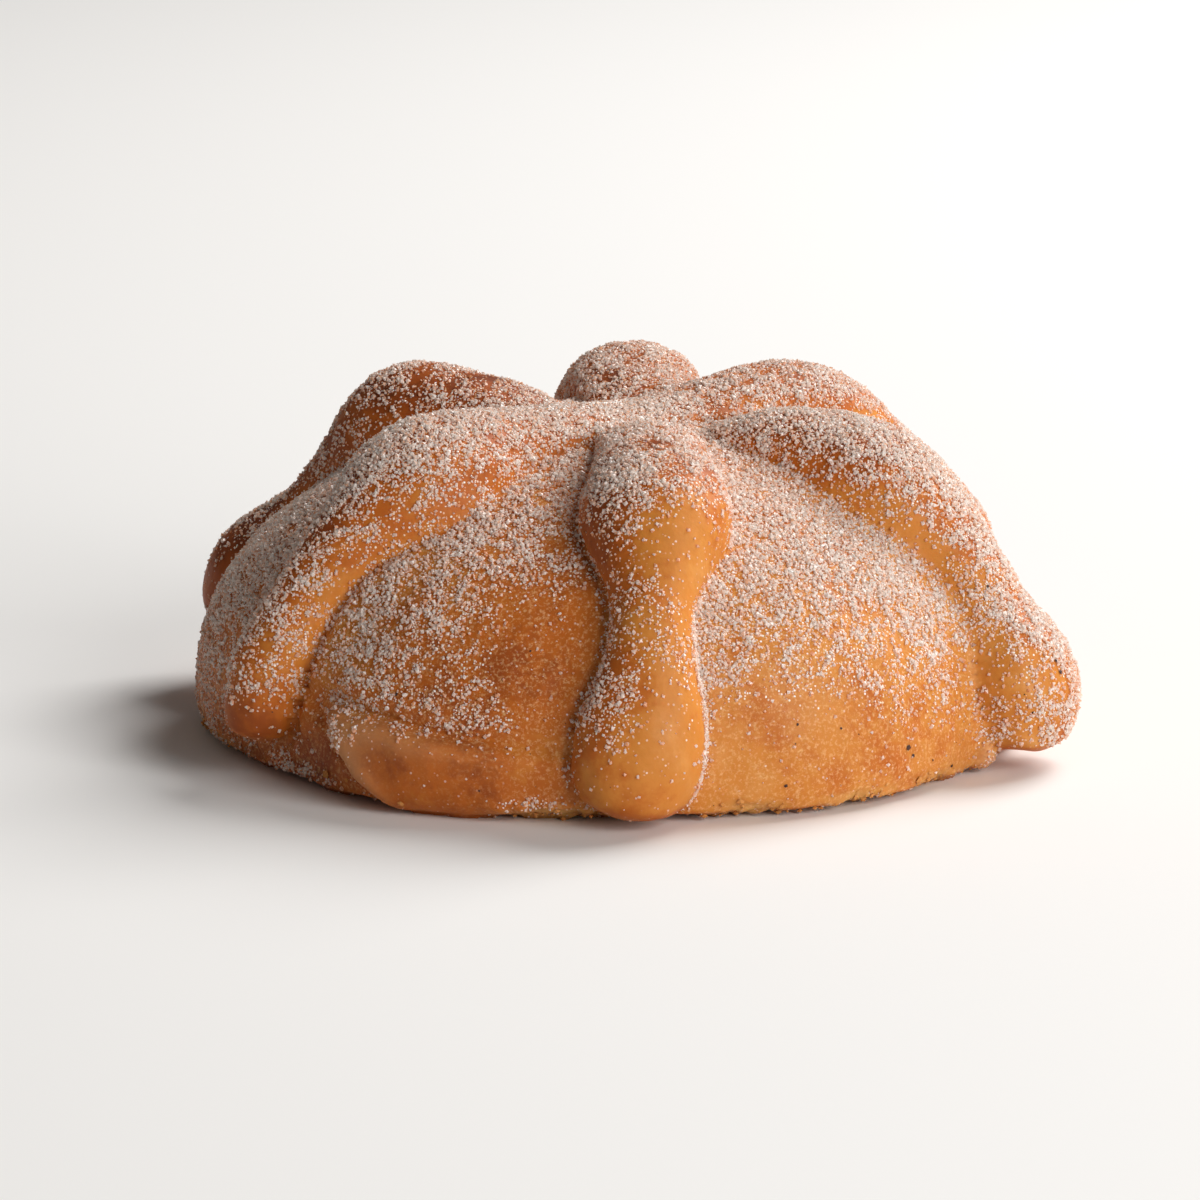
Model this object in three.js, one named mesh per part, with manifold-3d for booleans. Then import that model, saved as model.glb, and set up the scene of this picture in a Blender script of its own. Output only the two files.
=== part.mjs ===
// Pan de muerto: a low round bun of sweet dough with three knobbed dough bones laid across its crown.
// Each bone runs from one foot of the bun over the middle to the opposite foot, so six arms show.
// Along an arm the rolled dough swells into a shoulder knob, thins to a waist and ends in a second knob.
// Units are millimetres and degrees, +Z is up, and the origin is the middle of the flat underside.
import * as THREE from "three";
import { mergeVertices } from "three/addons/utils/BufferGeometryUtils.js";
import Module from "manifold-3d";

const { clamp, degToRad, euclideanModulo, lerp, radToDeg, smoothstep } = THREE.MathUtils;

// The bun's own dough, without the bones.
const CROWN = 44.5; // height of its top, under the crossing bones
const GIRTH = 58.6; // radius of its widest ring
const WIDEST = 5; // height of that ring above the tray
const FOOT = 56.5; // radius of the flat underside
const FULLNESS = 2.2; // 2 makes the dome an ellipse, more makes it boxier
const DOME_ARC = 80; // length of the dome's line from its top to its widest ring
const PUFF = 2.4; // how far a panel swells out between two bones
const BUN_SIDES = 72;
const DOME_RINGS = 17;
const SKIRT_RINGS = 3;

// What the bones share.
const CROSSING = new THREE.Vector3(2.6, 0, 0); // where they cross, a little beside the bun's own middle
const CROSSING_SHARE = 0.13; // share of an arm over which a bone presses into the others
const SEAT = 1.6; // height of a bone's centre line above the dome
const UNDERSIDE = 0.8; // depth of a bone below its centre line, for 1 above it
const SHOULDER_SPREAD = 0.15; // lengths of the two knobs, as shares of the arm
const END_SPREAD = 0.13;
const TIP_SPREAD = 0.3; // the end knob thins out more slowly towards the tip
const TIP_FULLNESS = 2.5; // 2 rounds a tip off as a circle, more makes it blunter
const FLARE_START = 0.72; // share of an arm past which its end stands out from the dome
const BONE_SIDES = 14;
const BONE_RINGS = 45;
const CLEARANCE = 0.3; // gap between neighbouring pieces

// An arm: the azimuth of its plane and how far that turns towards the crossing; how far down the dome it
// reaches, where 1 is the widest ring; the [width, height] of its middle, shoulder, waist and end; where
// its two knobs lie along it; and how far its end stands out.
const ARM = {
  bend: 0,
  reach: 1,
  middle: [15, 6],
  shoulder: [21, 15.5],
  waist: [11, 8],
  end: [17, 14],
  shoulderAt: 0.4,
  endAt: 0.86,
  flare: 0,
};

// The bones from the top of the crossing to its bottom. Sink is how far a bone's middle is pressed down.
const BONES = [
  {
    name: "bone_left_front",
    sink: 2.6,
    arms: [
      {
        ...ARM, azimuth: 213.5, bend: 6, shoulder: [24, 18.5], waist: [10.5, 10],
        end: [11.5, 12], endAt: 0.84,
      },
      { ...ARM, azimuth: 34, reach: 0.92, shoulder: [20.5, 15.5], shoulderAt: 0.34, end: [16, 13] },
    ],
  },
  {
    name: "bone_front_back",
    sink: 6.5,
    arms: [
      {
        ...ARM, azimuth: 271.3, bend: 4.3, reach: 1.05,
        shoulder: [21, 16.5], waist: [9.2, 8.5], end: [17.4, 13],
      },
      { ...ARM, azimuth: 91, shoulder: [22.6, 19] },
    ],
  },
  {
    name: "bone_right_front",
    sink: 10.2,
    arms: [
      {
        ...ARM, azimuth: 336, reach: 1.04, flare: 3.4,
        shoulder: [21, 14.5], waist: [11.5, 6.5], end: [20, 13.5], endAt: 0.9,
      },
      {
        ...ARM, azimuth: 156, reach: 0.97, flare: 1.5,
        shoulder: [20.5, 20], waist: [11, 4], end: [17, 14.5],
      },
    ],
  },
];

const BUN_CRUST = { color: 0xc98545, roughness: 0.6, metalness: 0 };
const BONE_CRUST = { color: 0xb86f35, roughness: 0.55, metalness: 0 };

const wasm = await Module();
wasm.setup();

// Radius and height of the dome at a share of the way from its top (0) to its widest ring (1). Past 1
// the line goes on straight down to the tray.
function domeProfile(share) {
  const turn = (Math.min(share, 1) * Math.PI) / 2;
  const past = Math.max(share - 1, 0) * DOME_ARC;
  return {
    radius: GIRTH * Math.sin(turn) ** (2 / FULLNESS),
    height: WIDEST + (CROWN - WIDEST) * Math.cos(turn) ** (2 / FULLNESS) - past,
  };
}

function onDome(azimuth, share) {
  const { radius, height } = domeProfile(share);
  const turn = degToRad(azimuth);
  return new THREE.Vector3(radius * Math.cos(turn), radius * Math.sin(turn), height);
}

function domeNormal(azimuth, share) {
  const step = 0.01;
  const inner = domeProfile(Math.max(share - step, 0));
  const outer = domeProfile(share + step);
  const slope = new THREE.Vector2(inner.height - outer.height, outer.radius - inner.radius).normalize();
  const turn = degToRad(azimuth);
  return new THREE.Vector3(slope.x * Math.cos(turn), slope.x * Math.sin(turn), slope.y);
}

// 0 along a bone, rising to 1 in the middle of the panel between two bones.
function panelSwell(azimuth) {
  const arms = BONES.flatMap((bone) => bone.arms.map((arm) => arm.azimuth));
  const before = Math.min(...arms.map((arm) => euclideanModulo(azimuth - arm, 360)));
  const after = Math.min(...arms.map((arm) => euclideanModulo(arm - azimuth, 360)));
  return Math.sin((Math.PI * before) / (before + after || 1)) ** 2;
}

// The bun is a lathed profile, from the middle of its underside out and up to its top, whose panels then
// swell between the bones.
function bunGeometry() {
  const profile = [new THREE.Vector2(0, 0)];
  for (let i = 0; i < SKIRT_RINGS; i++) {
    const turn = (i / SKIRT_RINGS) * (Math.PI / 2);
    const radius = FOOT + (GIRTH - FOOT) * Math.sin(turn);
    profile.push(new THREE.Vector2(radius, WIDEST * (1 - Math.cos(turn))));
  }
  for (let i = DOME_RINGS; i > 0; i--) {
    const { radius, height } = domeProfile(i / DOME_RINGS);
    profile.push(new THREE.Vector2(radius, height));
  }
  profile.push(new THREE.Vector2(0, CROWN));
  const geometry = new THREE.LatheGeometry(profile, BUN_SIDES).rotateX(Math.PI / 2);
  const places = geometry.attributes.position;
  for (let i = 0; i < places.count; i++) {
    const x = places.getX(i);
    const y = places.getY(i);
    const outward = (Math.hypot(x, y) / GIRTH) ** 2;
    const swell = 1 + (PUFF / GIRTH) * outward * panelSwell(radToDeg(Math.atan2(y, x)));
    places.setXY(i, x * swell, y * swell);
  }
  return geometry;
}

const bump = (t, at, spread) => Math.exp(-(((t - at) / spread) ** 2));

// Half the width and half the height of an arm at a share t of its length from the crossing.
function armSection(arm, t) {
  const toWaist = smoothstep(t, 0, (arm.shoulderAt + arm.endAt) / 2);
  const shoulder = bump(t, arm.shoulderAt, SHOULDER_SPREAD);
  const end = bump(t, arm.endAt, t > arm.endAt ? TIP_SPREAD : END_SPREAD);
  const tip = arm.end[0] / 2 / (DOME_ARC * arm.reach);
  const cap = (1 - clamp((t - 1 + tip) / tip, 0, 1) ** TIP_FULLNESS) ** (1 / TIP_FULLNESS);
  return [0, 1].map((i) => {
    const core = lerp(arm.middle[i], arm.waist[i], toWaist);
    return (cap / 2) * (core + (arm.shoulder[i] - core) * shoulder + (arm.end[i] - core) * end);
  });
}

// A point of a bone's centre line, and the dome's normal there. The place q runs from -1, the tip of the
// first arm, to 1, the tip of the second.
function alongBone(bone, q) {
  const arm = bone.arms[q < 0 ? 0 : 1];
  const t = Math.abs(q);
  const azimuth = arm.azimuth + arm.bend * (1 - t);
  const normal = domeNormal(azimuth, t * arm.reach);
  const pressed = bone.sink * bump(t, 0, CROSSING_SHARE);
  const lift = SEAT - pressed + arm.flare * smoothstep(t, FLARE_START, 1);
  const point = onDome(azimuth, t * arm.reach)
    .addScaledVector(normal, lift)
    .addScaledVector(CROSSING, 1 - t ** 2);
  return { arm, t, point, normal };
}

// A bone is a unit sphere drawn out along the bone's line, with its poles at the two tips. Grow makes it
// fatter all round, for the hollow that it leaves in its neighbours.
function boneGeometry(bone, grow = 0) {
  const geometry = new THREE.SphereGeometry(1, BONE_SIDES, BONE_RINGS);
  const places = geometry.attributes.position;
  const step = 0.005;
  for (let i = 0; i < places.count; i++) {
    const place = new THREE.Vector3().fromBufferAttribute(places, i);
    const even = 1 - (2 * Math.acos(clamp(place.y, -1, 1))) / Math.PI;
    const q = (even + place.y) / 2; // the rings crowd towards the tips, which are the roundest
    const around = Math.atan2(place.z, place.x);
    const { arm, t, point, normal } = alongBone(bone, q);
    const behind = alongBone(bone, Math.max(q - step, -1)).point;
    const ahead = alongBone(bone, Math.min(q + step, 1)).point;
    const tangent = ahead.sub(behind).normalize();
    const across = new THREE.Vector3().crossVectors(tangent, normal).normalize();
    const up = new THREE.Vector3().crossVectors(across, tangent);
    const [width, height] = armSection(arm, t);
    const wall = width > 0 ? grow : 0;
    const side = Math.cos(around);
    const rise = Math.sin(around);
    point.addScaledVector(across, (width + wall) * side);
    point.addScaledVector(up, (height * (rise < 0 ? UNDERSIDE : 1) + wall) * rise);
    point.addScaledVector(tangent, width > 0 ? 0 : Math.sign(q) * grow);
    places.setXYZ(i, point.x, point.y, Math.max(point.z, -grow));
  }
  return geometry;
}

function toSolid(geometry) {
  const bare = new THREE.BufferGeometry();
  bare.setIndex(geometry.index);
  bare.setAttribute("position", geometry.attributes.position);
  const merged = mergeVertices(bare, 1e-3);
  return new wasm.Manifold(
    new wasm.Mesh({
      numProp: 3,
      vertProperties: merged.attributes.position.array,
      triVerts: new Uint32Array(merged.index.array),
    }),
  );
}

function toMesh(name, solid, finish) {
  const { vertProperties, triVerts } = solid.getMesh();
  const geometry = new THREE.BufferGeometry();
  geometry.setAttribute("position", new THREE.BufferAttribute(vertProperties, 3));
  geometry.setIndex(new THREE.BufferAttribute(triVerts, 1));
  geometry.computeVertexNormals();
  const mesh = new THREE.Mesh(geometry, new THREE.MeshStandardMaterial(finish));
  mesh.name = name;
  return mesh;
}

// Each bone keeps its whole top and gives way below to the bones above it, and the bun gives way to all.
const bread = new THREE.Group();
const hollows = BONES.map((bone) => toSolid(boneGeometry(bone, CLEARANCE)));
BONES.forEach((bone, i) => {
  const whole = toSolid(boneGeometry(bone));
  const pressed = hollows.slice(0, i).reduce((solid, hollow) => solid.subtract(hollow), whole);
  bread.add(toMesh(bone.name, pressed, BONE_CRUST));
});
const bun = hollows.reduce((solid, hollow) => solid.subtract(hollow), toSolid(bunGeometry()));
bread.add(toMesh("bun", bun, BUN_CRUST));

export default bread;
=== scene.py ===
import math

import bpy
import numpy as np
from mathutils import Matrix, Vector, noise
from mathutils.bvhtree import BVHTree


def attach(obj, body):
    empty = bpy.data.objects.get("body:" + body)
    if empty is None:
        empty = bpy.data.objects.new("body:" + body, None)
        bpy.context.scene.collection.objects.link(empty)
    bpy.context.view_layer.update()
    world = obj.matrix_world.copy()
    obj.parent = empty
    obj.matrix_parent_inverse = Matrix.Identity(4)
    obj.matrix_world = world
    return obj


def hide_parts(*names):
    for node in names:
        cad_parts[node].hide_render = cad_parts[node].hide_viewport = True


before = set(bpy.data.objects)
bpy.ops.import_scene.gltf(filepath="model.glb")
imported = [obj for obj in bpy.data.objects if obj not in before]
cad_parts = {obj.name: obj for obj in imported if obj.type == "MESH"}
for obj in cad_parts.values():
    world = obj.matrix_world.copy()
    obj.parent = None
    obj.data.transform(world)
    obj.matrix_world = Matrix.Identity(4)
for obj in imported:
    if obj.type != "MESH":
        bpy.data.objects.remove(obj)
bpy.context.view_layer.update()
scene = bpy.context.scene
MM = 0.001

# ---------------------------------------------------------------------------------------------
# Crust: a bun of egg-rich yeast dough with three rolled strips laid across it. The four doughs
# rise and bake against each other, so they have grown into one skin with soft creases between.
# Brushed with butter after baking, it is golden in the creases and browner where it stands proud.
# ---------------------------------------------------------------------------------------------
SWELL = 0.35  # mm by which each dough grows into its neighbour
VOXEL = 0.74  # mm, the finest lump that the mesh holds
SMOOTH_PASSES = 36  # on the open crust
CREASE_PASSES = 5  # where two doughs meet
FILLET = 0.8  # mm, how far the dough fills the hollow between two of its pieces
CREASE_WIDTH = 2.2  # mm
CREASE_DEPTH = 0.8  # mm
LUMPS = [(24, 0.7), (9, 0.3), (3.2, 0.13)]  # [size, height] in mm of the crust's unevenness

# A patch of the crust is [azimuth, height, width, height of the patch, change], in degrees and mm.
# Here the change is how many mm more the dough fills a hollow.
FILLED = [
    (322, 30, 14, 20, 1.2),
    (232, 30, 12, 14, 0.8),
    (42, 30, 30, 20, 1.0),
    (160, 30, 30, 20, 1.0),
    (331, 4, 6, 6, 1.2),
]
# And here it is how many times deeper a crease is.
DEEPER = [(263, 20, 4, 22, 1.4), (216, 6, 9, 6, 1.5), (222, 20, 5, 14, 1)]


def apply_modifier(piece, kind, **settings):
    modifier = piece.modifiers.new(kind, kind)
    for name, value in settings.items():
        setattr(modifier, name, value)
    bpy.context.view_layer.objects.active = piece
    bpy.ops.object.modifier_apply(modifier=modifier.name)


def vertex_array(piece, name):
    values = np.zeros(len(piece.data.vertices) * 3, np.float32)
    piece.data.vertices.foreach_get(name, values)
    return values.reshape(-1, 3).astype(float)


def vertex_group(piece, name, weights):
    group = piece.vertex_groups.new(name=name)
    for level in range(1, 11):
        chosen = np.flatnonzero(np.round(weights * 10) == level)
        group.add([int(i) for i in chosen], level / 10, "REPLACE")


def lumpy(places, size, seed=0.0, octaves=2):
    """Smooth noise from about -1 to 1 at places in mm, with lumps of that size in mm."""
    shift = Vector((seed, 2.3 * seed, 5.1 * seed))
    return np.array([noise.fractal(Vector(p) / size + shift, 1, 2, octaves) for p in places])


def smooth(values, low, high):
    """0 below low, 1 above high, and a soft step between them."""
    share = np.clip((values - low) / (high - low), 0, 1)
    return share * share * (3 - 2 * share)


def distance_to(nodes, places):
    """Distance in mm from each place to the nearest of these CAD nodes' surfaces."""
    nearest = np.full(len(places), np.inf)
    for node in nodes:
        corners = [v.co / MM for v in node.data.vertices]
        tree = BVHTree.FromPolygons(corners, [tuple(p.vertices) for p in node.data.polygons])
        found = np.array([tree.find_nearest(Vector(p))[3] for p in places])
        nearest = np.minimum(nearest, found)
    return nearest


bpy.ops.object.select_all(action="DESELECT")
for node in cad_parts.values():
    dough = bpy.data.objects.new("dough", node.data.copy())
    scene.collection.objects.link(dough)
    dough.select_set(True)
bpy.context.view_layer.objects.active = dough
bpy.ops.object.join()
crust = bpy.context.active_object
crust.name = "crust"
bpy.ops.object.mode_set(mode="EDIT")
bpy.ops.mesh.select_all(action="SELECT")
bpy.ops.mesh.remove_doubles(threshold=0.001 * MM)
bpy.ops.object.mode_set(mode="OBJECT")
apply_modifier(crust, "DISPLACE", strength=SWELL * MM, mid_level=0)
apply_modifier(crust, "REMESH", mode="VOXEL", voxel_size=VOXEL * MM)
apply_modifier(crust, "SMOOTH", factor=0.5, iterations=4)


def patch(places, azimuth_at, height_at, across, tall):
    """1 in the middle of an oval patch of the crust, given in degrees and mm, fading to 0."""
    radius = np.hypot(places[:, 0], places[:, 1])
    azimuth = np.degrees(np.arctan2(places[:, 1], places[:, 0]))
    turn = (azimuth - azimuth_at + 180) % 360 - 180
    sideways = np.radians(turn) * radius / across
    return np.exp(-(sideways**2 + ((places[:, 2] - height_at) / tall) ** 2))


def with_patches(values, patches):
    """The values with each patch's change added where it lies on the finished crust."""
    for *where, change in patches:
        values = values + change * patch(places, *where)
    return values


def grow(piece, by, patches, sign):
    """Moves each vertex along its normal by so many mm, and by more in the patches."""
    places = vertex_array(piece, "co") / MM
    amount = by + sum(more * patch(places, *where) for *where, more in patches)
    places += sign * amount[:, None] * vertex_array(piece, "normal")
    piece.data.vertices.foreach_set("co", (places * MM).ravel().astype(np.float32))
    piece.data.update()


# Grown, meshed anew and shrunk back, the dough has filled the hollows under the bones' flanks.
grow(crust, FILLET, FILLED, 1)
apply_modifier(crust, "REMESH", mode="VOXEL", voxel_size=VOXEL * MM, use_smooth_shade=True)
grow(crust, FILLET, FILLED, -1)

# Where two doughs meet, both CAD surfaces are near. The creases are smoothed less than the rest.
bones = [node for name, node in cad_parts.items() if name.startswith("bone")]
places = vertex_array(crust, "co") / MM
to_bone = distance_to(bones, places)
to_bun = distance_to([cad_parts["bun"]], places)
crease = np.exp(-(((np.maximum(to_bone, to_bun) - SWELL) / CREASE_WIDTH).clip(0) ** 2))
on_bone = smooth(to_bun - to_bone, -0.4, 0.4)
vertex_group(crust, "open", 1 - smooth(crease, 0.2, 0.8))
apply_modifier(crust, "SMOOTH", factor=0.5, iterations=SMOOTH_PASSES, vertex_group="open")
apply_modifier(crust, "SMOOTH", factor=0.5, iterations=CREASE_PASSES)
crust.vertex_groups.clear()

places = vertex_array(crust, "co") / MM
normals = vertex_array(crust, "normal")
radius = np.hypot(places[:, 0], places[:, 1])
azimuth = np.degrees(np.arctan2(places[:, 1], places[:, 0])) % 360
height = places[:, 2]
wall = smooth(height, 0.5, 2.5)  # 0 on the flat underside
uneven = sum(tall * lumpy(places, size, seed=size) for size, tall in LUMPS)
deeper = with_patches(1, DEEPER)
sculpted = wall * uneven - CREASE_DEPTH * deeper * wall * smooth(crease, 0.5, 1)

# At the left of the front a fold of dough laps over the foot: a thick pad with a rolled lip at its
# left, beside a hollow where the bun stood against its neighbour on the tray.
LAP_AZIMUTH = 229  # of its upper left corner, in degrees
LAP_HEIGHT = 11.5  # mm
LAP_SLANT = (0.58, 0.81)  # sideways and up: the direction across its left edge
LAP_CORNER = 2.6  # mm, how round its corner is
LAP_END = 270  # where it has faded into the panel
LIP = (1.4, 0.5)  # mm by which its upper edge stands out, and how much more its left edge does
LIP_WIDTH = 1.9  # mm
RIM = (0.7, 1.3, 1.1)  # height, distance in from the edge and width in mm of the roll along it
GROOVE = (0.9, 0.7)  # depth and width in mm of the shadow line outside the edge
HOLLOW = 0.7  # mm
along = np.radians((azimuth - LAP_AZIMUTH + 180) % 360 - 180) * radius + 0.5 * lumpy(places, 5, seed=3)
above = height - LAP_HEIGHT + 0.5 * lumpy(places, 6, seed=4)
past_left = LAP_SLANT[0] * along + LAP_SLANT[1] * above + 2.7
below_top = 0.8 * (2.3 - above - 0.12 * along)
inward = -LAP_CORNER * np.logaddexp(-past_left / LAP_CORNER, -below_top / LAP_CORNER)
round_lip = np.sqrt(1 - (1 - np.clip(inward / LIP_WIDTH, 0, 1)) ** 2)
near_left = np.exp(-((np.clip(past_left, 0, None) / 6) ** 2))
pale_part = np.exp(-((np.clip(along, 0, None) / 18) ** 2))
fading = (1 - smooth(azimuth, LAP_END - 28, LAP_END)) * (1 - on_bone) * (azimuth > 200)
rim = np.exp(-(((inward - RIM[1]) / RIM[2]) ** 2)) * fading
lap = round_lip * fading
under = 0.25 + 0.75 * smooth(height, 0, 5)
sculpted += under * (lap * (LIP[0] + LIP[1] * near_left) + RIM[0] * rim)
sculpted -= GROOVE[0] * np.exp(-(((inward + GROOVE[1]) / GROOVE[1]) ** 2)) * fading
hollow = smooth(azimuth, 213, 220) * smooth(-inward, 0, 1.2)
hollow *= (1 - smooth(height, 6.5, 10)) * (azimuth < 250)
sculpted -= HOLLOW * hollow * smooth(height, 0, 3) * (1 - on_bone)

# The foot is torn in places where it stuck to the tray, with a ragged ledge of crumb under the front
# arm's left, and a clump of buttery sugar clings to it at the right.
TORN = [(262, 7), (288, 4), (303, 5), (318, 4), (45, 14), (120, 18), (190, 10)]  # [azimuth, spread]
TORN_RELIEF = (0.8, 0.5)  # mm, how rough the crumb is and how deep it lies
LEDGE = (259, 2.7, 8, 1.0)
CLUMP = (329.5, 4, 2.2, 3.2)
CLUMP_HEIGHT = 1.3  # mm
FOOT_ROUNDING = 0.7  # mm, how far the edge of the underside draws in
torn = sum(np.exp(-(((azimuth - at + 180) % 360 - 180) / spread) ** 2) for at, spread in TORN)
torn = np.clip(torn, 0, 1) * (1 - smooth(height, 1.6, 3.4 + 1.0 * lumpy(places, 3, seed=6)))
torn *= (1 - on_bone) * smooth(radius, 53, 57)
sculpted += torn * (TORN_RELIEF[0] * lumpy(places, 2.0, seed=7, octaves=2) - TORN_RELIEF[1])
ledge = patch(places, *LEDGE) * (1 - on_bone)
sculpted += ledge * (1.0 + 0.7 * lumpy(places, 2.2, seed=15, octaves=2))
sculpted -= FOOT_ROUNDING * (1 - smooth(height, 0.2, 1.6)) * (1 + 0.6 * lumpy(places, 6, seed=8))
clump = patch(places, *CLUMP) ** 0.5 * (1 - on_bone)
clump = smooth(clump, 0.35, 0.8)
sculpted += CLUMP_HEIGHT * clump

places += normals * sculpted[:, None]
places[:, 2] = np.where(height < 0.4, 0, places[:, 2].clip(0))
crust.data.vertices.foreach_set("co", (places * MM).ravel().astype(np.float32))
crust.data.update()
normals = vertex_array(crust, "normal")

# Spots on the crown with little sugar: [x, y, z, reach in mm, change in browning, change in sugar]. In
# one, the browning is painted shade.
CROWN_SPOTS = [
    (15.5, -3, 44.5, 3.2, 0.1, -0.8),
    (4.8, -31.5, 48, 2.2, 0.35, -0.8),
    (-20.3, 10.5, 48.4, 3, 0.08, -0.6),
    (-2.2, 19, 47, 2.6, 0.25, -0.4),
    (-4, -11, 46, 4, -0.2, -0.3),
    (2, 2, 46.4, 4, -0.2, -0.2),
    (-23, -29, 39, 4, -0.3, -0.12),
    (-26, -38, 32, 4, -0.3, -0.15),
    (18, 3, 46, 4, -0.3, 0),
    (-25, -29, 43, 5, -0.1, -0.05),
    # Painted shade: this spot's extra browning and thinner sugar stand partly for the warm shade on the
    # right-front bone's shoulder, where the sugar is also thinner.
    (28, -18, 42, 8, 0.13, -0.42),
    (-30, 8, 46, 6, 0, -0.2),
    (28, -17, 46.5, 5, -0.1, 0.4),
    (2.7, -38, 47.4, 5, 0, 0.15),
]


def spot(x, y, z, reach):
    """1 at a place given in mm, fading to 0 within that reach of it."""
    return np.exp(-((places - [x, y, z]) ** 2).sum(axis=1) / reach**2)


def store(piece, name, values, domain="POINT"):
    attribute = piece.data.attributes.new(name, "FLOAT", domain)
    attribute.data.foreach_set("value", np.asarray(values, np.float32))


# How much it has browned: most on the raised backs of the bones, least in creases and at the foot.
# A few patches and one crown spot paint shade and light into it. The change is in browning, which runs
# from 0 to 1.
UNDERSIDE_BROWNING = 0.62
BROWNED_AND_PAINTED_LIGHT = [
    (247, 5, 20, 7, 0.3),
    (224, 4, 8, 8, 0.4),
    (209, 6, 12, 9, 0.38),
    (160, 22, 34, 26, 0.4),
    (182, 20, 14, 16, 0.2),
    (163, 21, 10, 9, 0.15),
    (258, 24, 9, 9, 0.16),
    # These four paint light and shade on the front bone: lighter on the lit right of its upper knob,
    # darker on the shaded left of its upper and lower knobs, and a painted shadow in the crease along its
    # left.
    (280, 36, 5, 10, -0.3),
    (268, 36, 5, 9, 0.3),
    (267, 16, 4, 8, 0.2),
    (263, 22, 2.5, 22, 0.12),
    (276, 14, 6, 8, -0.12),
    (300, 20, 26, 14, -0.08),
    (292, 14, 7, 7, 0.14),
    (303, 6, 12, 6, 0.1),
    (314, 13, 9, 6, 0.1),
    (284, 7, 4, 8, -0.16),
    (35, 42, 10, 8, -0.12),
    (246, 17, 11, 6, 0.3),
    (256, 21, 6, 7, 0.14),
    (236, 6, 6, 6, 0.12),
    (245, 28, 14, 12, 0.06),
    (250, 37, 12, 6, 0.1),
    (333, 9, 5, 6, 0.12),
    (216, 30, 4, 14, 0.2),
    (215, 8, 5, 6, 0.05),
    (336, 17, 3, 8, 0.12),
    (329, 17, 3.5, 7, -0.24),
    (273, 37, 4, 6, -0.26),
    (273, 27, 4, 5, -0.24),
    (336, 40, 9, 9, 0.16),
    (304, 15, 3, 7, 0.14),
    (325, 30, 7, 12, -0.26),
    (330, 4, 2, 3, -0.5),
]
browning_and_painted_light = 0.36 + 0.24 * on_bone * smooth(normals[:, 2], 0.2, 0.95)
browning_and_painted_light += 0.14 * smooth(height, 14, 40) - 0.05 * crease
browning_and_painted_light += 0.15 * lumpy(places, 11, seed=9, octaves=3) * (1 - 0.8 * lap)
browning_and_painted_light = with_patches(browning_and_painted_light, BROWNED_AND_PAINTED_LIGHT)
for *where, change, _ in CROWN_SPOTS:
    browning_and_painted_light += change * spot(*where)
browning_and_painted_light += (UNDERSIDE_BROWNING - browning_and_painted_light) * smooth(-normals[:, 2], 0.5, 0.9)
# The pale rim along the lap's lip is partly melted sugar and partly a painted highlight; the clump's pale
# glaze is its own colour.
glaze_and_highlight = 0.7 * rim * pale_part * smooth(height, 0, 7) + 0.8 * clump
store(crust, "browning_and_painted_light", np.clip(browning_and_painted_light, 0, 1))
store(crust, "crease", crease)
store(crust, "torn", torn)
store(crust, "glaze_and_highlight", np.clip(glaze_and_highlight, 0, 1))
store(crust, "bun_skin", (1 - on_bone) * (1 - 0.85 * lap))


def linear(code):
    """A hex sRGB colour as linear red, green, blue and alpha."""
    parts = [int(code[i : i + 2], 16) / 255 for i in (1, 3, 5)]
    return [p / 12.92 if p <= 0.04045 else ((p + 0.055) / 1.055) ** 2.4 for p in parts] + [1]


def add(tree, kind, inputs=None, **settings):
    """Adds a node. An input gets a value, or a link where a socket is given."""
    made = tree.nodes.new("ShaderNode" + kind)
    for name, value in settings.items():
        setattr(made, name, value)
    for name, value in (inputs or {}).items():
        if isinstance(value, bpy.types.NodeSocket):
            tree.links.new(value, made.inputs[name])
        else:
            made.inputs[name].default_value = value
    return made


def new_material(name):
    material = bpy.data.materials.new(name)
    material.use_nodes = True
    material.node_tree.nodes.clear()
    return material, material.node_tree


PALE_CRUMB = "#D38F48"  # hardly baked
BAKED = [(0.0, 0.3, "#CB8034"), (0.3, 0.6, "#BA6320"), (0.6, 0.85, "#9B4B19"), (0.85, 1.1, "#6F3419")]
DUST = 0.36  # mm, size of the finest sugar crystals
DUST_LOW = "#E3A872"
DUST_HIGH = "#FFF8F2"


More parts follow.
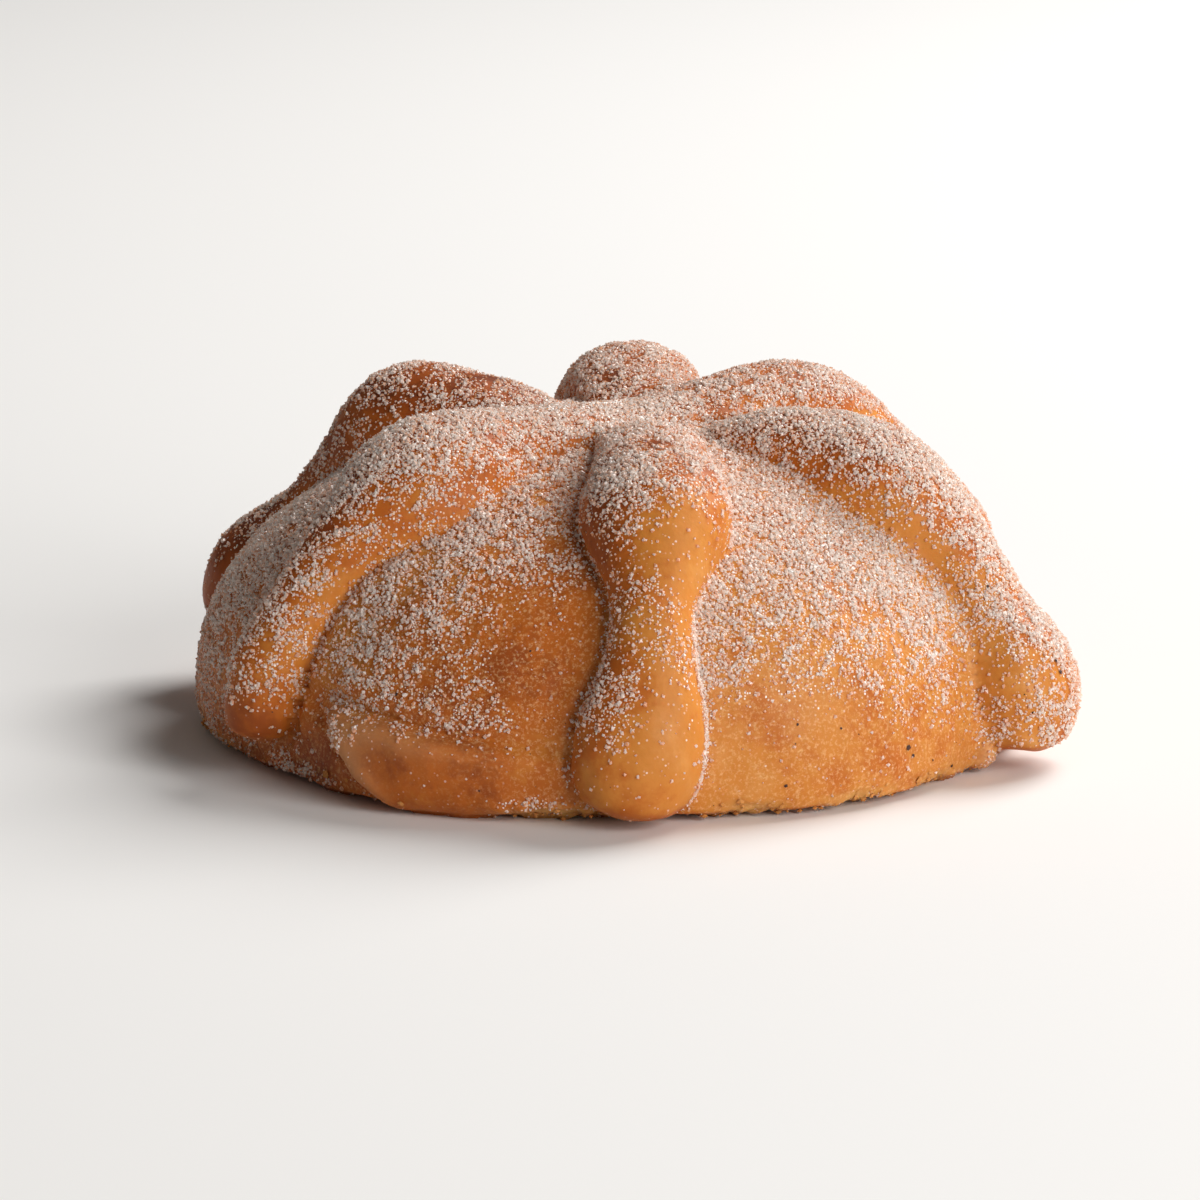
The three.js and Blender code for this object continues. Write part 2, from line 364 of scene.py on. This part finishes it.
def brioche_crust():
    """Brioche crust under melted butter: a thin satin skin, translucent enough to glow at its edges."""
    material, tree = new_material("brioche_crust")
    where = add(tree, "TexCoord").outputs["Object"]
    browned_and_painted_light = add(tree, "Attribute", attribute_name="browning_and_painted_light").outputs["Fac"]
    hollow = add(tree, "Attribute", attribute_name="crease").outputs["Fac"]
    broken = add(tree, "Attribute", attribute_name="torn").outputs["Fac"]
    glaze_and_highlight = add(tree, "Attribute", attribute_name="glaze_and_highlight").outputs["Fac"]
    bun_skin = add(tree, "Attribute", attribute_name="bun_skin").outputs["Fac"]

    # The browning, with the shade and light painted into it, varies in blotches of 5 mm and mottles of 1
    # mm, and runs from pale gold to brown.
    blotch = add(tree, "TexNoise", {
        "Vector": where,
        "Scale": 1 / (5 * MM),
        "Detail": 4,
        "Roughness": 0.6,
    })
    mottle = add(tree, "TexNoise", {"Vector": where, "Scale": 1 / (1.1 * MM), "Detail": 3})
    shift = add(tree, "MapRange", {
        "Value": blotch.outputs["Fac"],
        "From Min": 0.3,
        "From Max": 0.7,
        "To Min": -0.14,
        "To Max": 0.14,
    })
    fine = add(tree, "MapRange", {
        "Value": mottle.outputs["Fac"],
        "From Min": 0.3,
        "From Max": 0.7,
        "To Min": -0.06,
        "To Max": 0.06,
    })
    level = add(tree, "Math", {0: browned_and_painted_light, 1: shift.outputs[0]}, operation="ADD")
    level = add(tree, "Math", {0: level.outputs[0], 1: fine.outputs[0]}, operation="ADD").outputs[0]
    colour = linear(PALE_CRUMB)
    for low, high, code in BAKED:
        share = add(tree, "MapRange", {
            "Value": level,
            "From Min": low,
            "From Max": high,
        }, interpolation_type="SMOOTHSTEP")
        mix = add(tree, "Mix", {"Factor": share.outputs[0], 6: colour, 7: linear(code)}, data_type="RGBA")
        colour = mix.outputs[2]

    # Creases stay golden, torn crumb is paler, melted sugar glazes the clump, and the pale rim along the
    # lap's lip is partly melted sugar and partly a painted highlight.
    gold = add(tree, "Math", {0: hollow, 1: 0.5}, operation="MULTIPLY").outputs[0]
    for share, code in [(gold, "#C9752B"), (broken, "#CF9550"), (glaze_and_highlight, "#D89D6B")]:
        mix = add(tree, "Mix", {"Factor": share, 6: colour, 7: linear(code)}, data_type="RGBA")
        colour = mix.outputs[2]

    # Small pale blisters of half a millimetre, on the bun's own skin only.
    dots = add(tree, "TexNoise", {
        "Vector": where,
        "Scale": 1 / (0.5 * MM),
        "Detail": 2,
        "Roughness": 0.7,
    })
    dots = add(tree, "MapRange", {
        "Value": dots.outputs["Fac"],
        "From Min": 0.5,
        "From Max": 0.72,
        "To Min": 0.0,
        "To Max": 0.5,
    })
    dots = add(tree, "Math", {0: dots.outputs[0], 1: bun_skin}, operation="MULTIPLY")
    mix = add(tree, "Mix", {"Factor": dots.outputs[0], 6: colour, 7: linear("#F0C38B")}, data_type="RGBA")
    colour = mix.outputs[2]

    # The finest sugar, too small to model and drawn coarser than it is: pale round crystals, more of
    # them where sugar lies.
    dusted = add(tree, "Attribute", attribute_name="dust").outputs["Fac"]
    dust = add(tree, "TexVoronoi", {"Vector": where, "Scale": 1 / (DUST * MM), "Randomness": 1})
    lots = add(tree, "SeparateColor", {"Color": dust.outputs["Color"]})
    excess = add(tree, "Math", {0: dusted, 1: lots.outputs[0]}, operation="SUBTRACT")
    lying = add(tree, "MapRange", {"Value": excess.outputs[0], "From Min": -0.04, "From Max": 0.04})
    round_off = add(tree, "MapRange", {
        "Value": dust.outputs["Distance"],
        "From Min": 0.35,
        "From Max": 0.55,
        "To Min": 1.0,
        "To Max": 0.0,
    })
    lying = add(tree, "Math", {0: lying.outputs[0], 1: round_off.outputs[0]}, operation="MULTIPLY")
    lying = lying.outputs[0]
    pale = add(tree, "Mix", {
        "Factor": lots.outputs[1],
        6: linear(DUST_LOW),
        7: linear(DUST_HIGH),
    }, data_type="RGBA")
    mix = add(tree, "Mix", {"Factor": lying, 6: colour, 7: pale.outputs[2]}, data_type="RGBA")
    colour = mix.outputs[2]

    # A finely wrinkled skin with pores, and the low relief of the finest sugar.
    skin = add(tree, "TexNoise", {
        "Vector": where,
        "Scale": 1 / (1.6 * MM),
        "Detail": 5,
        "Roughness": 0.62,
    })
    pores = add(tree, "TexVoronoi", {"Vector": where, "Scale": 1 / (0.9 * MM), "Randomness": 1})
    relief = add(tree, "Bump", {"Height": skin.outputs["Fac"], "Strength": 0.35, "Distance": 0.25 * MM})
    relief = add(tree, "Bump", {
        "Height": pores.outputs["Distance"],
        "Strength": 0.12,
        "Distance": 0.2 * MM,
        "Normal": relief.outputs[0],
    })
    relief = add(tree, "Bump", {
        "Height": lying,
        "Strength": 0.5,
        "Distance": 0.12 * MM,
        "Normal": relief.outputs[0],
    })
    gloss = add(tree, "MapRange", {
        "Value": blotch.outputs["Fac"],
        "From Min": 0.3,
        "From Max": 0.7,
        "To Min": 0.42,
        "To Max": 0.58,
    })
    surface = add(tree, "BsdfPrincipled", {
        "Base Color": colour,
        "Roughness": gloss.outputs[0],
        "IOR": 1.4,
        "Specular IOR Level": 0.3,
        "Subsurface Weight": 0.25,
        "Subsurface Radius": (1.0, 0.42, 0.16),
        "Subsurface Scale": 1.6 * MM,
        "Normal": relief.outputs[0],
    })
    add(tree, "OutputMaterial", {"Surface": surface.outputs[0]})
    return material


crust.data.materials.clear()
crust.data.materials.append(brioche_crust())
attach(crust, "root")
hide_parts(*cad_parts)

# ---------------------------------------------------------------------------------------------
# Sugar: granulated sugar, shaken over the buttered crust while it is warm. It lies thick on all
# that faces up, thins out down the sides, gathers along the creases and is rubbed off in spots.
# Each grain is a blocky crystal of about 0.25 to 0.7 mm that lies flat and lets light through.
# ---------------------------------------------------------------------------------------------
GRAIN = (0.25, 0.72)  # mm, the smallest and largest crystal
GRAIN_AREA = 0.162  # mm2 that one hides
LEAN = 0.4  # radians, how far a crystal typically leans from the crust
HEAPED = 0.22  # mm, how high one can lie on others where the sugar is thick
PIECE_GRAINS = 22000  # 8 triangles each
FEWEST = 0.025  # share of the crust that stray grains hide where it is barest
MOST = 0.82
CLUMPING = [(6, 0.25, 11, 0.3), (1.9, 0.68, 12, 0.5)]  # [size in mm, strength, seed, cover for it all]

# How much of the crust it hides, patch by patch, on the bun and on the bones. The change is in the
# share of the crust that is hidden.
BUN_SUGAR = [
    (292, 38, 10, 8, 0.2),
    (315, 36, 10, 9, 0.25),
    (320, 24, 4, 13, 0.4),
    (300, 28, 14, 8, 0.06),
    (290, 14, 8, 8, -0.15),
    (285, 25, 4, 7, 0.2),
    (300, 4, 26, 7, -0.32),
    (327, 9, 3, 6, 0.3),
    (314, 13, 9, 5, 0.16),
    (329.5, 4, 2, 3, 0.5),
    (257, 25, 7, 9, -0.55),
    (262, 14, 5, 8, -0.3),
    (243, 28, 12, 7, -0.08),
    (250, 34, 16, 10, -0.12),
    (304, 24, 8, 7, -0.06),
    (231, 16, 6, 7, 0.3),
    (246, 14, 11, 4, 0.3),
    (256, 12, 5, 3, 0.2),
    (248, 5, 18, 6, -0.6),
    (259, 2.8, 8, 1.3, 0.9),
    (265, 24, 2.4, 11, -0.5),
    (219, 4, 8, 4, 0.1),
    (217, 2.5, 4, 1.8, 0.5),
    (226, 2, 5, 1.2, 0.35),
    (193, 18, 14, 22, 0.35),
]
BONE_SUGAR = [
    (281, 36, 3.6, 7, -0.8),
    (281, 12, 4.2, 11, -0.5),
    (268, 34, 7, 7, -0.3),
    (272, 45, 8, 4, 0.25),
    (272, 1, 9, 7, -0.6),
    (266, 11, 3, 5, -0.15),
    (269.5, 20, 3, 4, 0.05),
    (275, 16, 2.4, 7, -0.6),
    (273, 27, 3, 5, -0.25),
    (273, 37, 3, 5, -0.2),
    (268, 33, 3, 5, 0.15),
    (219, 24, 3, 9, 0.12),
    (222, 34, 4, 5, -0.25),
    (214, 26, 4, 6, -0.1),
    (334, 42, 10, 8, 0.4),
    (339, 28, 5, 14, 0.45),
    (325, 29, 4, 9, -0.4),
    (327.5, 17, 2.5, 4.5, -0.3),
    (332, 23, 3, 5, 0.3),
    (331, 10, 3.5, 4, 0.3),
    (340, 12, 5, 8, 0.25),
    (333, 6, 5, 5, 0.45),
    (216, 46, 14, 4, 0.25),
    (224, 38, 6, 10, 0.12),
    (211, 30, 4, 16, 0.22),
    (217, 26, 3, 10, 0.1),
    (214, 12, 5, 7, 0.15),
    (216, 9, 3.5, 4, -0.5),
    (158, 40, 16, 14, -0.12),
    (32, 42, 10, 8, 0.06),
    (176, 34, 8, 14, 0.1),
    (165, 20, 10, 9, -0.2),
    (156, 14, 16, 12, -0.1),
]
on_bun_cover = 0.06 + 0.66 * smooth(height, 8, 34) * smooth(normals[:, 2], -0.5, 0.5)
on_bone_cover = 0.16 + 0.42 * smooth(normals[:, 2], -0.2, 0.85) * smooth(height, -4, 30)
on_bun_cover = with_patches(on_bun_cover, BUN_SUGAR)
on_bone_cover = with_patches(on_bone_cover, BONE_SUGAR)
on_bun_cover += 0.2 * rim * near_left
cover = on_bun_cover + on_bone * (on_bone_cover - on_bun_cover)
for *where, _, change in CROWN_SPOTS:
    cover += change * spot(*where)
for size, strength, seed, full in CLUMPING:
    cover += strength * lumpy(places, size, seed=seed, octaves=2) * smooth(cover, 0, full)

# Sugar gathers as a line in the creases, and along the edges of the front bone.
LINED = [(264, 20, 5, 20, 0.7), (281, 14, 6, 18, 1.1), (316, 38, 18, 12, 0.8)]
RIGHT_EDGE = (281, 15, 4, 17)
LEFT_EDGE = (266, 19, 3, 12)
line = smooth(crease, 0.6, 0.88) * smooth(height, 0.5, 3) * (0.85 + 0.6 * lumpy(places, 2.5, seed=13))
line *= with_patches(0.1, LINED)
edge = 1.1 * smooth(crease, 0.1, 0.3) * patch(places, *RIGHT_EDGE)
edge += 0.75 * smooth(crease, 0.45, 0.65) * patch(places, *LEFT_EDGE)
edge *= on_bone * (0.85 + 0.5 * lumpy(places, 2, seed=14))
cover = np.maximum(cover, np.maximum(line, edge))
cover *= smooth(height, 0.4, 1.5) * (normals[:, 2] > -0.7)
cover = np.clip(cover, FEWEST * (1 - 0.7 * lap), MOST) * (height > 0.4)
store(crust, "dust", cover * (0.3 + 0.7 * smooth(height, 5, 18)))

# Grains fall at random on the crust's triangles, enough of them on each to hide its share.
crust.data.calc_loop_triangles()
corners = np.zeros(len(crust.data.loop_triangles) * 3, np.int32)
crust.data.loop_triangles.foreach_get("vertices", corners)
corners = corners.reshape(-1, 3)
ends = places[corners]
crossed = np.cross(ends[:, 1] - ends[:, 0], ends[:, 2] - ends[:, 0])
areas = np.linalg.norm(crossed, axis=1) / 2
weights = areas * -np.log(1 - cover[corners].mean(axis=1)) / GRAIN_AREA

draw = np.random.default_rng(11)
counts = draw.poisson(weights)
owner = np.repeat(np.arange(len(counts)), counts)
share = draw.random((len(owner), 2))
flip = share.sum(axis=1) > 1
share[flip] = 1 - share[flip]
first, second, third = (ends[owner, k] for k in range(3))
seats = first + share[:, :1] * (second - first) + share[:, 1:] * (third - first)
up = normals[corners[owner]].mean(axis=1)
up /= np.linalg.norm(up, axis=1)[:, None]
sizes = GRAIN[0] + (GRAIN[1] - GRAIN[0]) * draw.random(len(seats)) ** 2
thick = cover[corners[owner, 0]]
seats += up * (sizes * 0.12 + HEAPED * draw.random(len(seats)) * thick**2)[:, None]

# A crystal has six corners and eight faces: a smaller triangle on top of a larger one, turned half
# way round. Its corners are in shares of its size.
turns = np.radians([0, 120, 240, 60, 180, 300])
reach = np.array([0.54, 0.54, 0.54, 0.44, 0.44, 0.44])
rise = [-0.26, -0.26, -0.26, 0.3, 0.3, 0.3]
CRYSTAL = np.stack([reach * np.cos(turns), reach * np.sin(turns), rise], 1)
SIDE_FACES = [(0, 1, 3), (1, 4, 3), (1, 2, 4), (2, 5, 4), (2, 0, 5), (0, 3, 5)]
CRYSTAL_FACES = np.array([(0, 2, 1), (3, 4, 5)] + SIDE_FACES)


def standing(ups):
    """For each direction a frame of three unit vectors: two across it, at a random turn, and itself."""
    helper = np.where(np.abs(ups[:, 2:]) < 0.9, [[0.0, 0, 1]], [[1.0, 0, 0]])
    side = np.cross(ups, helper)
    side /= np.linalg.norm(side, axis=1)[:, None]
    turns = draw.random((len(ups), 1)) * 2 * np.pi
    across = side * np.cos(turns) + np.cross(ups, side) * np.sin(turns)
    return np.stack([across, np.cross(ups, across), ups], 1)


def crystals(name, chosen):
    """One mesh of crystals, each cut a little askew and leaning its own way, at the chosen seats."""
    count = len(chosen)
    lean = up[chosen] + LEAN * draw.normal(size=(count, 3))
    lean /= np.linalg.norm(lean, axis=1)[:, None]
    shape = sizes[chosen, None] * draw.uniform(0.78, 1.22, (count, 3))
    made = CRYSTAL[None] * shape[:, None]
    made += draw.uniform(-0.1, 0.1, made.shape) * sizes[chosen, None, None]
    made = np.einsum("nij,njk->nik", made, standing(lean)) + seats[chosen, None]
    made[:, :, 2] = made[:, :, 2].clip(0.02)
    faces = CRYSTAL_FACES[None] + len(CRYSTAL) * np.arange(count)[:, None, None]
    mesh = bpy.data.meshes.new(name)
    mesh.from_pydata((made * MM).reshape(-1, 3), [], faces.reshape(-1, 3).tolist())
    piece = bpy.data.objects.new(name, mesh)
    scene.collection.objects.link(piece)
    # Some faces show more of the crust through the crystal, and others more white, above all in a heap.
    tint = np.repeat(0.5 + 0.4 * thick[chosen], len(CRYSTAL_FACES))
    white = smooth(tint - draw.random(len(tint)), -0.45, 0.45)
    store(piece, "shade", np.clip(white + 0.12 * draw.normal(size=len(tint)), 0, 1), "FACE")
    return piece


def granulated_sugar():
    """Granulated sugar: clear crystals with flat faces that flash, white where many lie together."""
    material, tree = new_material("granulated_sugar")
    shade = add(tree, "Attribute", attribute_name="shade").outputs["Fac"]
    colour = add(tree, "Mix", {
        "Factor": shade,
        6: linear("#F1B686"),
        7: linear("#FFFBF6"),
    }, data_type="RGBA")
    face = add(tree, "BsdfPrincipled", {"Base Color": colour.outputs[2], "Roughness": 0.2, "IOR": 1.54})
    glow = add(tree, "BsdfTranslucent", {"Color": colour.outputs[2]})
    surface = add(tree, "MixShader", {"Fac": 0.5, 1: face.outputs[0], 2: glow.outputs[0]})
    add(tree, "OutputMaterial", {"Surface": surface.outputs[0]})
    return material


CROWN_HEIGHT = 42  # mm, above which the grains go into the crown's pieces
sugar = granulated_sugar()
turn = np.degrees(np.arctan2(seats[:, 1], seats[:, 0])) % 360
groups = {
    "sugar_crown_left": (seats[:, 2] > CROWN_HEIGHT) & (seats[:, 0] < 0),
    "sugar_crown_right": (seats[:, 2] > CROWN_HEIGHT),
    "sugar_front_left": (turn > 200) & (turn <= 270),
    "sugar_front_right": (turn > 270) & (turn <= 340),
    "sugar_right": (turn > 340) | (turn <= 80),
    "sugar_left": (turn > 80) & (turn <= 200),
}
taken = np.zeros(len(seats), bool)
for name, member in groups.items():
    chosen = np.flatnonzero(member & ~taken)
    taken |= member
    if len(chosen) > PIECE_GRAINS:
        chosen = draw.choice(chosen, PIECE_GRAINS, replace=False)
    piece = crystals(name, chosen)
    piece.data.materials.append(sugar)
    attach(piece, "root")

# ---------------------------------------------------------------------------------------------
# Specks: dark bits of ground anise and burnt crumb, pressed into the crust. Each is a small
# irregular lump of 0.4 to 1 mm, with finer ones of 0.15 to 0.32 mm scattered between.
# ---------------------------------------------------------------------------------------------
# [azimuth, height, width] in degrees and mm of the specks that stand out, then a fine scatter.
SPECKS = [
    (311, 7.8, 1.0), (312, 6.3, 0.7), (321, 3.2, 0.6), (292, 4.7, 0.6), (294, 13, 0.45), (334, 14.5, 0.7),
    (329, 9.8, 0.5), (332, 26, 0.5), (239, 16.4, 0.5), (252, 4.7, 0.4), (257, 23, 0.4), (300, 12, 0.4),
    (316, 5, 0.4), (334, 16, 0.6), (60, 12, 0.6), (130, 9, 0.7), (175, 16, 0.5),
]
FINE_SPECKS = 60
FINE_WIDTHS = (0.15, 0.32)  # mm
LUMP_RING = [(0.9, 0, 0.3), (0.25, 0.85, 0.3), (-0.75, 0.5, 0.3), (-0.7, -0.55, 0.3), (0.3, -0.85, 0.3)]
LUMP = np.array([(0, 0, 1)] + LUMP_RING + [(0, 0, -0.6)])
LUMP_FACES = [(0, k, k % 5 + 1) for k in range(1, 6)] + [(6, k % 5 + 1, k) for k in range(1, 6)]


def lumps(name, seats, ups, widths, flatness):
    """One mesh of small uneven lumps that sit on the crust."""
    count = len(seats)
    made = LUMP[None] * (1 + draw.uniform(-0.3, 0.3, (count, len(LUMP), 1))) * [1, 1, flatness]
    made = np.einsum("nij,njk->nik", made, standing(ups)) * (widths / 2)[:, None, None] + seats[:, None]
    made[:, :, 2] = made[:, :, 2].clip(0.02)
    faces = [tuple(k + len(LUMP) * n for k in face) for n in range(count) for face in LUMP_FACES]
    mesh = bpy.data.meshes.new(name)
    mesh.from_pydata((made * MM).reshape(-1, 3), [], faces)
    piece = bpy.data.objects.new(name, mesh)
    scene.collection.objects.link(piece)
    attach(piece, "root")
    return piece


def nearest(azimuth_at, height_at):
    """The crust's vertex nearest to a place on the side, given in degrees and mm."""
    turn = (azimuth - azimuth_at + 180) % 360 - 180
    underside = 1000 * (normals[:, 2] < -0.5)
    return np.argmin((np.radians(turn) * radius) ** 2 + (height - height_at) ** 2 + underside)


bare = np.flatnonzero((cover < 0.3) & (height > 2) & (normals[:, 2] > -0.3))
spots = [nearest(*speck[:2]) for speck in SPECKS]
spots += list(draw.choice(bare, FINE_SPECKS, replace=False))
widths = [speck[2] for speck in SPECKS]
widths = np.array(widths + list(draw.uniform(*FINE_WIDTHS, FINE_SPECKS)))
specks = lumps("anise_specks", places[spots] + 0.05 * normals[spots], normals[spots], widths, 0.6)
# Ground anise: nearly black, dull and dry.
anise, tree = new_material("ground_anise")
surface = add(tree, "BsdfPrincipled", {"Base Color": linear("#3A1A0C"), "Roughness": 0.6})
add(tree, "OutputMaterial", {"Surface": surface.outputs[0]})
specks.data.materials.append(anise)

# ---------------------------------------------------------------------------------------------
# Crumbs: bits of the torn foot and of the crust, golden and dry, caught along the foot.
# ---------------------------------------------------------------------------------------------
CRUMBS = 420
CRUMB_WIDTHS = (0.35, 1.1)  # mm, the smallest, and how much wider the largest is
at_foot = np.flatnonzero((height > 0.4) & (height < 3.5) & (on_bone < 0.3))
chance = torn[at_foot] + 0.06
spots = draw.choice(at_foot, CRUMBS, replace=False, p=chance / chance.sum())
widths = CRUMB_WIDTHS[0] + CRUMB_WIDTHS[1] * draw.random(CRUMBS) ** 3
crumbs = lumps("foot_crumbs", places[spots] + 0.1 * normals[spots], normals[spots], widths, 0.8)
# Bread crumb: golden and matt, with a little light let in.
crumb, tree = new_material("bread_crumb")
surface = add(tree, "BsdfPrincipled", {
    "Base Color": linear("#CB8A45"),
    "Roughness": 0.75,
    "Subsurface Weight": 0.2,
    "Subsurface Radius": (1, 0.5, 0.2),
    "Subsurface Scale": 0.5 * MM,
})
add(tree, "OutputMaterial", {"Surface": surface.outputs[0]})
crumbs.data.materials.append(crumb)

# ---------------------------------------------------------------------------------------------
# Studio: a pale matt table, a low soft lamp at the right front, a stronger one high behind the
# right, and a weak even fill.
# ---------------------------------------------------------------------------------------------
CAMERA_DISTANCE = 0.96  # m
CAMERA_ELEVATION = math.radians(14)
CAMERA_YAW = math.radians(-0.178)
CAMERA_PITCH = math.radians(-12.956)
LENS = 199.2  # mm

lens = bpy.data.cameras.new("camera")
lens.lens = LENS
lens.sensor_width = 36
camera = bpy.data.objects.new("camera", lens)
back = CAMERA_DISTANCE * math.cos(CAMERA_ELEVATION)
camera.location = (0, -back, CAMERA_DISTANCE * math.sin(CAMERA_ELEVATION))
camera.rotation_euler = (math.pi / 2 + CAMERA_PITCH, 0, -CAMERA_YAW)
scene.collection.objects.link(camera)
scene.camera = camera
scene.view_settings.view_transform = "Standard"

bpy.ops.mesh.primitive_plane_add(size=6)
floor = bpy.context.active_object
floor.name = "floor"
# Matt paint: pale, with no shine to mirror the bread.
paint, tree = new_material("matt_paint")
surface = add(tree, "BsdfPrincipled", {"Base Color": linear("#F1EFEC"), "Roughness": 0.9})
add(tree, "OutputMaterial", {"Surface": surface.outputs[0]})
floor.data.materials.append(paint)


def lamp(name, place, size, watts):
    """A square soft lamp that looks at the middle of the table."""
    light = bpy.data.lights.new(name, "AREA")
    light.size = size
    light.energy = watts
    holder = bpy.data.objects.new(name, light)
    holder.location = place
    holder.rotation_euler = (-Vector(place)).to_track_quat("-Z", "Y").to_euler()
    scene.collection.objects.link(holder)


lamp("key", (0.9, -1.0, 0.56), 0.8, 15.5)
lamp("back", (0.8, 0.66, 1.0), 0.9, 23)
studio = bpy.data.worlds.new("studio")
studio.use_nodes = True
sky = studio.node_tree.nodes["Background"]
sky.inputs["Strength"].default_value = 0.1
sky.inputs["Color"].default_value = linear("#FFFAF5")
scene.world = studio
